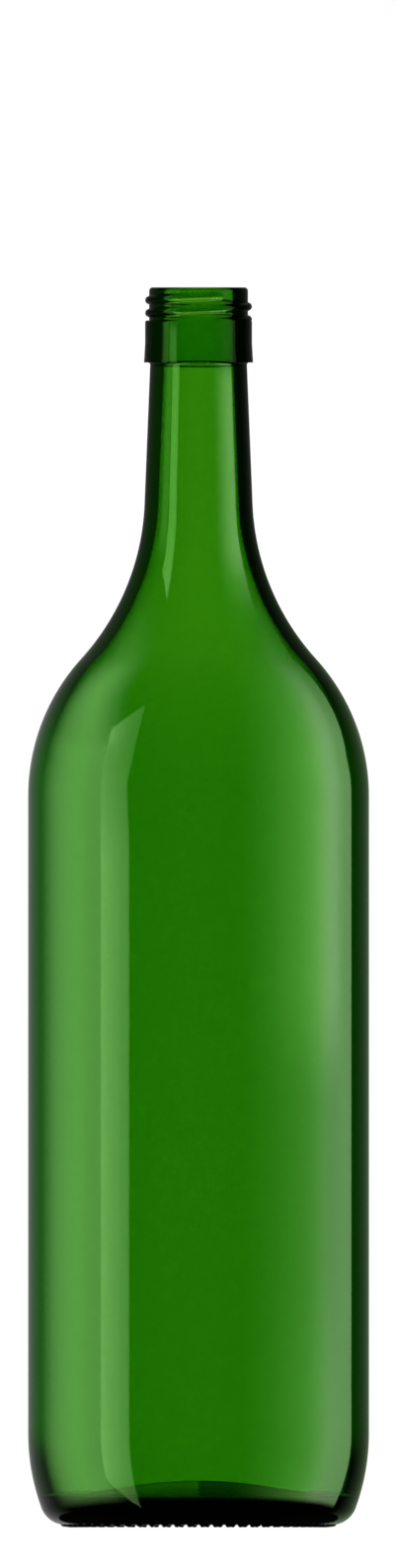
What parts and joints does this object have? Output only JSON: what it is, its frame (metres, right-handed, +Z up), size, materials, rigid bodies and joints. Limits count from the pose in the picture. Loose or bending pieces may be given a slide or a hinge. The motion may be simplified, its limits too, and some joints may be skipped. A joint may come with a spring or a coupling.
{
  "type": "bordeaux wine bottle",
  "caption": "Green glass bordeaux wine bottle, empty and open, with straight sides, round shoulders, a tapered neck and a finish for a screw cap.",
  "frame": {"origin": "on the bottle's axis, at the surface it stands on", "axes": "+Z up along the bottle's axis towards the mouth, +X to the right as pictured, -Y towards the viewer"},
  "size_m": [0.0866, 0.0866, 0.315],
  "materials": {
    "green_glass": "smooth clear green glass, moulded, coloured all through"
  },
  "bodies": {
    "root": {"bottle": "green_glass"}
  },
  "joints": []
}
